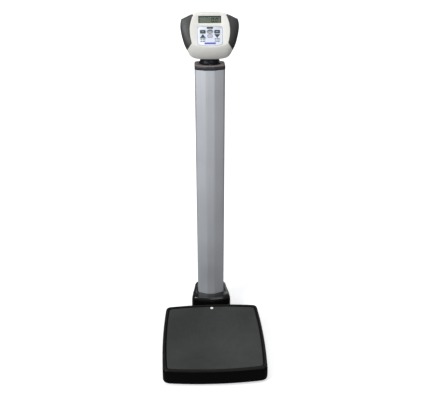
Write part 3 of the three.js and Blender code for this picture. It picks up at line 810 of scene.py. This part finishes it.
# The points, as X, Y and Z, that draw the rear shell out between the seam and that edge.
REAR_CORNER = [
    (0, 284, 1134),
    (29, 284, 1132.5),
    (52, 284, 1127),
    (85, 285, 1111),
    (88, 287, 1098),
    (88.5, 291, 1083.5),
    (86.5, 294, 1066.7),
    (83, 297, 1050),
    (78, 300, 1034),
    (71.5, 302, 1019.5),
    (62.5, 304, 1004),
    (53, 306, 996),
    (35, 307, 993),
    (0, 307.5, 992.6),
]
GRIP_FIRST, GRIP_LAST = 2, 9  # the places between which the grips run
CORNERS = {3}  # places where the outline turns sharply
SPANS = [5, 5, 8, 4, 4, 5, 5, 4, 4, 6, 5, 5, 6]  # steps from each place to the next
GRIP_BACK = SEAM_Y - 3
WINDOW = (0, 22.6, 71.5, 22.4)  # centre and size on the face
KEYPAD_WELL = rounded_box(68, 37, 0, -17.2, 4)  # opening under the keypad's film


def smooth_run(stations):
    """Points through a half ring's stations, smooth except at the sharp corners."""
    places = [Vector(s) for s in stations]
    flip = Vector((-1, 1, 1))
    padded = [places[1] * flip, *places, places[-2] * flip]
    knots = [0.0]
    for a, b in zip(padded, padded[1:]):
        knots.append(knots[-1] + max((b - a).length, 1e-6) ** 0.5)
    points = []
    for i, count in enumerate(SPANS):
        a, b = places[i], places[i + 1]
        span = knots[i + 2] - knots[i + 1]
        if i in CORNERS:
            leave = b - a
        else:
            leave = (b - padded[i]) / (knots[i + 2] - knots[i]) * span
        if i + 1 in CORNERS:
            arrive = b - a
        else:
            arrive = (padded[i + 3] - a) / (knots[i + 3] - knots[i + 1]) * span
        for step in range(count):
            t = step / count
            points.append(
                a * (2 * t**3 - 3 * t**2 + 1)
                + leave * (t**3 - 2 * t**2 + t)
                + b * (3 * t**2 - 2 * t**3)
                + arrive * (t**3 - t**2)
            )
    return points + [places[-1]]


def full_ring(half):
    """Closes a right half ring, top centre to bottom centre, with its mirror image."""
    left = [Vector((-p.x, p.y, p.z)) for p in half[1:-1]]
    return half + left[::-1]


def on_face(u, v, w=0.0):
    return FACE @ Vector((u, v, w))


def rear_wall_y(z):
    share = (z - REAR_LOW.y) / (REAR_HIGH.y - REAR_LOW.y)
    return REAR_LOW.x + share * (REAR_HIGH.x - REAR_LOW.x)


def fall(share):
    """The half ring that is share of the way from the panel's edge to the silhouette."""
    stations = []
    for (u, v), (x, z, y), round_by in zip(PANEL_EDGE, SILHOUETTE, ROUNDNESS):
        start = Vector((u, v, 0))
        end = FACE.inverted() @ Vector((x, y, z))
        turn = share * math.pi / 2
        out = share + (math.sin(turn) - share) * round_by
        down = share + (1 - math.cos(turn) - share) * round_by
        plane = start.xy.lerp(end.xy, out)
        stations.append(on_face(plane.x, plane.y, end.z * down))
    return smooth_run(stations)


def side_wall(y):
    """The half ring of the silhouette carried back to a Y, or left where it is if behind it."""
    return smooth_run([(x, max(y, own), z) for x, z, own in SILHOUETTE])


def head_rings():
    """The front shell's rings, from just inside the panel's edge out and back to the seam."""
    narrower, nearer = 0.972, 1.4
    inner = smooth_run([on_face(u * narrower, v - math.copysign(nearer, v)) for u, v in PANEL_EDGE])
    shares = (0.0, 0.03, 0.1, 0.2, 0.32, 0.45, 0.58, 0.7, 0.8, 0.88, 0.94, 1.0)
    rings = [inner] + [fall(share) for share in shares]
    halfway = [(x, (y + GRIP_BACK) / 2, z) for x, z, y in SILHOUETTE]
    rings.append(smooth_run(halfway))
    rings.append(side_wall(GRIP_BACK))
    rings.append(side_wall(SEAM_Y))
    return [full_ring(ring) for ring in rings]


def grid_part(rings, rows, columns):
    """The part of a ring grid between rows and between columns, as vertices and faces."""
    count = len(rings[0])
    verts = [Vector(p) for ring in rings for p in ring]
    faces = []
    for row in rows:
        for i in columns:
            a, b = row * count + i % count, row * count + (i + 1) % count
            faces.append((a, b, b + count, a + count))
    return verts, faces


def make_front_shell_and_grips():
    """The pale front shell with its openings, and the grips set into its sides."""
    rings = head_rings()
    count = len(rings[0])
    first = sum(SPANS[:GRIP_FIRST])
    last = sum(SPANS[:GRIP_LAST])
    right = range(first, last)
    left = range(count - last, count - first)
    grip_rows = range(1, len(rings) - 2)
    everything = range(len(rings) - 1)
    bare = [i for i in range(count) if i not in right and i not in left]
    gripped = [*right, *left]
    rest = [row for row in everything if row not in grip_rows]
    window_x, window_y, width, height = WINDOW
    hole = rounded_box(width, height, window_x, window_y, 1.6)
    to_face = FACE.inverted()
    border = [(to_face @ p).xy for p in rings[0]]
    panel = patch(border, [hole, KEYPAD_WELL], lambda p: on_face(p.x, p.y))
    skin = joined(panel, grid_part(rings, everything, bare), grid_part(rings, rest, gripped))
    shell = new_object("head_front_shell", skin)
    thicken(shell, SHELL_WALL)
    soften(shell, 0.45, 2, 38)
    finish_piece(shell, "head", "head", ["head_front_shell"], 35)
    for side, columns in (("left", left), ("right", right)):
        grip = new_object(f"grip_{side}", grid_part(rings, grip_rows, columns))
        thicken(grip, SHELL_WALL, 0.25)
        soften(grip, 0.5, 3, 38)
        finish_piece(grip, "grip", "head", [f"grip_{side}"], 35)


DOOR = (104, 50)  # width and height
JACK_AT = (-62, -4)  # from the door's middle, on the rear wall
REAR_SCREWS = [(-62, 1100), (62, 1100), (-40, 1012.5), (40, 1012.5)]  # X and Z
WELL_RADIUS = 3.8


def make_rear_shell():
    """The rear shell: side walls that draw in, and a flat wall with the door's opening."""
    start = [(x, SEAM_Y + 0.35, z) for x, z, _ in SILHOUETTE]
    end = [(x, rear_wall_y(z), z) for x, z in REAR_EDGE]
    rings = []
    for share in (0, 0.12, 0.26, 0.4, 0.53, 0.65, 0.76, 0.86, 0.94, 1.0):
        stations = []
        for a, corner, b in zip(start, REAR_CORNER, end):
            a, c, b = Vector(a), Vector(corner), Vector(b)
            stations.append(a.lerp(c, share).lerp(c.lerp(b, share), share))
        rings.append(full_ring(smooth_run(stations)))
    rings[-1] = [Vector((p.x, rear_wall_y(p.z), p.z)) for p in rings[-1]]
    border = [Vector((p.x, p.z)) for p in rings[-1]]
    width, height = DOOR
    door = [REAR @ Vector((p.x, p.y, 0)) for p in rounded_box(width + 0.9, height + 0.9, 0, 0, 3)]
    jack = [REAR @ Vector((p.x, p.y, 0)) for p in circle(5.9, 32, *JACK_AT)]
    holes = [[Vector((p.x, p.z)) for p in loop] for loop in (door, jack)]
    holes += [circle(WELL_RADIUS, 28, x, z) for x, z in REAR_SCREWS]
    wall = patch(border, holes, lambda p: (p.x, rear_wall_y(p.y), p.y))
    shell = new_object("head_rear_shell", joined(loft(rings, False, False), wall))
    thicken(shell, SHELL_WALL)
    soften(shell, 0.5, 2, 38)
    finish_piece(shell, "head", "head", ["head_rear_shell"], 35)


def make_screws():
    """Pan-head screws with a cross recess, and the wells that they sit in."""
    for i, (x, z) in enumerate(REAR_SCREWS, 1):
        node = f"head_screw_{i}"
        seat = drawn(node, HIGH, Y) - 2.5
        place = Matrix.Translation((x, seat, z)) @ Matrix.Rotation(-math.pi / 2, 4, "X")
        profile = [(0, -15), (1.4, -15), (1.4, 0), (3.2, 0), (3.2, 0.9), (2.7, 1.9), (1.4, 2.4), (0, 2.5)]
        screw = new_object(node, lathe(profile, 32), place)
        slots = (block(-2, 2, -0.35, 0.35, 1.2, 4), block(-0.35, 0.35, -2, 2, 1.2, 4))
        carve(screw, *slots, place=place)
        finish_piece(screw, "steel", "head", [node])
        outer, deep = WELL_RADIUS + 0.6, 60
        well = [(WELL_RADIUS, 0), (outer, 0), (outer, deep), (WELL_RADIUS, deep), (WELL_RADIUS, 0)]
        rings = [flat(circle(radius, 28), z) for radius, z in well]
        shaft = new_object(f"screw_well_{i}", loft(rings, False, False), place)
        far = rear_wall_y(z) - seat - 1.3
        carve(shaft, block(-9, 9, -9, 9, far, 90), place=place)
        finish_piece(shaft, "head", "head", ())


def make_display():
    """The window pane, the panel behind it with its dark rim, and the figures it shows; the rim is drawn
    wider at the top and left as painted shadow from the window's recess.
    """
    x, y, width, height = WINDOW
    glass = -3.4  # the panel's front, behind the face
    pane = prism(rounded_box(width - 0.6, height - 0.6, x, y, 1.4), -1.7, -0.9)
    piece("display_window", pane, "pane", "head", ["display_window"], FACE, 0.15)
    panel = prism(rounded_box(76, 27, x, y - 0.3, 0.8), -7.0, glass)
    piece("lcd_panel", panel, "lcd", "head", ["lcd_panel"], FACE, 0.3)
    outer = rounded_box(width + 2, height + 2, x, y, 1.5)
    # The opening sits low and to the right, so the dark rim shows wider at the top and left: painted
    # shadow from the window's recess.
    inner = rounded_box(width - 5.2, height - 4.6, x + 0.4, y - 0.8, 1)
    rings = [flat(outer, -3.3), flat(outer, -2.5), flat(inner, -2.8), flat(inner, -3.3)]
    rings.append(flat(outer, -3.3))
    piece("lcd_rim_and_painted_shadow", loft(rings, False, False), "lcd_rim_and_painted_shadow", "head", (), FACE)
    dot = rounded_box(1.8, 1.8, 15.9, 15.7, 0.3)
    shapes = [*segments_of_zero(9.4, 21.2), *segments_of_zero(22.4, 21.2), dot]
    figures = joined(*[prism(shape, glass, glass + 0.1) for shape in shapes])
    piece("lcd_figures", figures, "lcd_ink", "head", (), FACE)


def segments_of_zero(x, y):
    """The six bars of a seven-bar nought, centred on a point of the face."""
    width, height, bar = 8.6, 13.2, 2.2
    out, up = (width - bar) / 2, (height - bar) / 2
    long_bar = height / 2 - bar * 0.9
    bars = [rounded_box(width - bar, bar, x, y + end * up, 0.4) for end in (1, -1)]
    for side in (-1, 1):
        for end in (-1, 1):
            bars.append(rounded_box(bar, long_bar, x + side * out, y + end * height / 4, 0.4))
    return bars


def triangle(x, y, up, half, rise, grow):
    """A rounded triangle: half its base, and how far its point and base stand from y."""
    base = y - up * rise * 0.8
    ends = [(x - up * half, base), (x + up * half, base), (x, y + up * rise * 0.9)]
    return outline([(*end, 0.9, 4) for end in ends], -grow)


def oval(width, height, x, y, sides=48):
    unit = circle(1, sides)
    return [Vector((x + p.x * width / 2, y + p.y * height / 2)) for p in unit]


LABEL_TOP = 0.25
KEY_TOP = 0.85
KEY_GAP = 0.25
FRAME_INK, CAPTION_INK, KEY_INK = 0.03, 0.04, 0.03  # how far the print stands up


def key_shapes(grow=0.0):
    """Each key's outline on the face, or the hole round it when grown."""
    more = 2 * grow
    return {
        "key_clear": rounded_box(19.6 + more, 5.4 + more, 0, -2.9, 2 + grow),
        "key_power": oval(20.6 + more, 13.2 + more, 0, -14.4),
        "key_units": rounded_box(16.2 + more, 10.0 + more, 0, -27.9, 3.5 + grow),
        "key_zero": rounded_box(17.4 + more, 10.6 + more, -22.4, -14.7, 2.5 + grow),
        "key_hold": rounded_box(17.4 + more, 10.6 + more, 22.4, -14.7, 2.5 + grow),
        "key_up": triangle(-22.4, -28.0, 1, 9.0, 6.8, grow),
        "key_down": triangle(22.4, -27.7, -1, 9.0, 6.7, grow),
    }


def make_label():
    """The keypad's film, with a printed frame, generic bars for captions and no lettering."""
    corners = [(0, -61, 30, 10), (40, -55, 6, 6), (40, 1.5, 6, 6)]
    edge = outline(mirrored(corners))
    film = new_object("keypad_label", prism(edge, 0.02, LABEL_TOP), FACE)
    soften(film, 0.08, 1)
    holes = [prism(shape, -2, 2) for shape in key_shapes(KEY_GAP).values()]
    carve(film, joined(*holes), place=FACE)
    finish_piece(film, "label", "head", ["keypad_label"])
    line = [outline(mirrored(corners), inset) for inset in (0.3, 1.5)]
    top = LABEL_TOP + FRAME_INK
    rings = [flat(line[0], LABEL_TOP), flat(line[0], top)]
    rings += [flat(line[1], top), flat(line[1], LABEL_TOP), flat(line[0], LABEL_TOP)]
    piece("label_frame_line", loft(rings, False, False), "key_grey", "head", (), FACE)
    captions = []
    for side in (-1, 1):
        for y, width in ((-36.9, 17), (-43.6, 16)):
            for along, share in ((-0.3, 0.36), (0.22, 0.5)):
                box = rounded_box(width * share, 2.9, side * 22.4 + along * width, y, 0.6)
                captions.append(prism(box, LABEL_TOP, LABEL_TOP + CAPTION_INK))
    piece("label_captions", joined(*captions), "ink", "head", (), FACE)
    bar = prism(rounded_box(36, 6, 0, -50.4, 2.6), LABEL_TOP, LABEL_TOP + CAPTION_INK)
    piece("label_bar", bar, "blue_ink", "head", (), FACE)


def make_keys():
    """Seven raised keys. The two arrows need no mark: their outline is the symbol."""
    for name, shape in key_shapes().items():
        material = "key_grey" if name in ("key_power", "key_units") else "key_dark"
        body = prism(shape, -6.2, KEY_TOP)
        piece(name, body, material, name, [name], FACE, 0.3)
    make_key_marks()


def make_key_marks():
    """Plain marks on the other five: pale bars, and an arc over a pip on the power key."""
    low, top = KEY_TOP - 0.1, KEY_TOP + KEY_INK
    bars = {
        "key_clear": [rounded_box(1.6, 1.0, x, -3.2, 0.4) for x in (-2.4, 2.4)],
        "key_zero": [rounded_box(1.6, 2.4, x, -14.7, 0.5) for x in (-24.2, -20.8)],
        "key_hold": [rounded_box(1.6, 2.4, x, -14.7, 0.5) for x in (19.8, 22.4, 25)],
        "key_units": [rounded_box(12.6, 6.9, 0, -27.9, 2.4)],
    }
    for key, shapes in bars.items():
        marks = joined(*[prism(shape, low, top) for shape in shapes])
        piece(key + "_mark", marks, "key_pale", key, (), FACE)
    outer = [Vector((9.0 * math.cos(t), 6.3 * math.sin(t))) for t in arc(12, 168)]
    inner = [Vector((6.0 * math.cos(t), 3.6 * math.sin(t))) for t in arc(168, 12)]
    crescent = [p + Vector((0, -14.6)) for p in outer + inner]
    ring = prism(crescent, low, top)
    piece("key_power_arc", ring, "key_dark", "key_power", (), FACE)
    pip = prism(rounded_box(5, 1.6, 0, -17.2, 0.7), low, top)
    piece("key_power_pip", pip, "key_pale", "key_power", (), FACE)


def arc(start, end, steps=14):
    """Evenly spaced angles between two given in degrees."""
    return [math.radians(start + (end - start) * i / steps) for i in range(steps + 1)]


def make_door():
    """The battery door, with the ribs that a thumb pushes on."""
    width, height = DOOR
    door = new_object("battery_door", prism(rounded_box(width, height, 0, 0, 2.6), -2.5, -0.05), REAR)
    soften(door, 0.4, 3)
    finish_piece(door, "head", "battery_door", ["battery_door"], 35)
    ribs = [prism(rounded_box(22, 1.1, 0, 12 + 2.6 * i, 0.5), -0.2, 0.5) for i in range(4)]
    piece("battery_door_ribs", joined(*ribs), "head", "battery_door", (), REAR, 0.12)


def make_jack():
    """The barrel jack's socket and its pin."""
    x, y = JACK_AT
    profile = [(5.4, -13), (5.4, 0.3), (5.0, 0.7), (3.6, 0.7), (3.2, 0.2), (3.2, -9), (1.6, -9)]
    rings = [flat(circle(r, 40, x, y), z) for r, z in profile]
    piece("power_jack", loft(rings), "dark", "head", ["power_jack"], REAR)
    pin = [(0, -9), (1, -9), (1, -1.6), (0.7, -1.2), (0, -1.1)]
    piece("power_jack_pin", lathe(pin, 24, x, y), "contact", "head", (), REAR)


# ---- CAD nodes that stay ------------------------------------------------------------------


def dress_frame():
    """Every carried-over CAD node gets a material of its own kind."""
    finishes = {
        "base_frame": "paint",
        "column_bracket": "paint",
        "deck_plate": "paint",
        "junction_board": "board",
        "main_board": "board",
        "load_cell": "cell",
        "bracket_bolt": "steel",
        "signal_cable": "dark",
        "swivel_stem": "steel",
        "swivel_nut": "steel",
        "swivel_washer": "nylon",
        "battery_tray": "dark",
        "battery": "battery",
    }
    for name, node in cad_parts.items():
        start = next((key for key in finishes if name.startswith(key)), None)
        if start:
            node.data.materials.clear()
            node.data.materials.append(MAT[finishes[start]])


# ---- Studio -------------------------------------------------------------------------------


def make_floor():
    """A pale floor that looks brighter than the light it throws on the object."""
    bpy.ops.mesh.primitive_plane_add(size=80, location=(0, 0, 0))
    floor = bpy.context.object
    floor.name = "studio_floor"
    n = Nodes("studio_floor")
    seen = n.add("ShaderNodeLightPath").outputs["Is Camera Ray"]
    away = n.add("ShaderNodeVectorMath", operation="LENGTH")
    n.link(n.place, away.inputs[0])
    n.link(n.tint(seen, (0.25, 0.25, 0.25), (0.87, 0.87, 0.87)), n.shader.inputs["Base Color"])
    mottle = n.add("ShaderNodeMath", operation="MULTIPLY")
    n.link(n.spread(n.noise(0.6), 0.98, 1.0), mottle.inputs[0])
    n.link(n.spread(away.outputs["Value"], 0.46, 1.02, 0.7, 3.0), mottle.inputs[1])
    glow = n.add("ShaderNodeMath", operation="MULTIPLY")
    n.link(seen, glow.inputs[0])
    n.link(mottle.outputs["Value"], glow.inputs[1])
    n.link(glow.outputs["Value"], n.shader.inputs["Emission Strength"])
    n.set(Roughness=0.9, Specular_IOR_Level=0.1, Emission_Color=(1, 1, 1, 1))
    floor.data.materials.append(n.material)


def add_light(name, place, aim, size, power, color):
    data = bpy.data.lights.new(name, "AREA")
    data.shape = "RECTANGLE"
    data.size, data.size_y = size
    data.energy = power
    data.color = color
    light = bpy.data.objects.new(name, data)
    light.location = place
    light.rotation_euler = (Vector(aim) - Vector(place)).to_track_quat("-Z", "Y").to_euler()
    bpy.context.scene.collection.objects.link(light)


def make_studio():
    """The floor, a white backdrop that lights the object only faintly, and four soft lamps."""
    make_floor()
    world = bpy.data.worlds.new("studio")
    world.use_nodes = True
    nodes, links = world.node_tree.nodes, world.node_tree.links
    sky = nodes["Background"]
    sky.inputs["Color"].default_value = (0.93, 0.96, 1.0, 1)
    brightness = nodes.new("ShaderNodeMapRange")
    brightness.inputs["To Min"].default_value = 0.24
    brightness.inputs["To Max"].default_value = 1.08
    links.new(nodes.new("ShaderNodeLightPath").outputs["Is Camera Ray"], brightness.inputs["Value"])
    links.new(brightness.outputs["Result"], sky.inputs["Strength"])
    bpy.context.scene.world = world
    add_light("key", (-2.7, -1.9, 2.4), (0, 0.1, 0.8), (1.6, 1.6), 97, (0.96, 0.98, 1.0))
    add_light("front", (0.9, -3.1, 1.7), (0, 0.1, 0.9), (2.0, 1.0), 26, (1, 0.99, 0.98))
    add_light("back", (1.4, 3.2, 1.5), (0, 0.2, 0.7), (2.6, 1.8), 28, (0.97, 0.98, 1.0))
    add_light("top", (0, -0.3, 3.2), (0, 0.1, 0.4), (2.2, 2.2), 34, (1, 1, 1))


def make_camera():
    """In front of the platform and a little to its left, 1.4 m up, looking down."""
    data = bpy.data.cameras.new("camera")
    data.sensor_width = 36
    data.lens = 47.135
    camera = bpy.data.objects.new("camera", data)
    camera.location = TO_FRAME @ Vector((-64, -1574, 1406))
    turn, pitch = math.radians(2.53), math.radians(27.1)
    ahead = Vector((math.sin(turn), math.cos(turn), -math.tan(pitch)))
    camera.rotation_euler = ahead.to_track_quat("-Z", "Y").to_euler()
    bpy.context.scene.collection.objects.link(camera)
    bpy.context.scene.camera = camera
    bpy.context.scene.view_settings.view_transform = "Standard"


make_camera()
make_studio()
dress_frame()
make_cover()
make_mat()
make_vial()
make_feet()
make_column()
make_cap()
make_shroud()
make_swivel()
make_front_shell_and_grips()
make_rear_shell()
make_screws()
make_display()
make_label()
make_keys()
make_door()
make_jack()
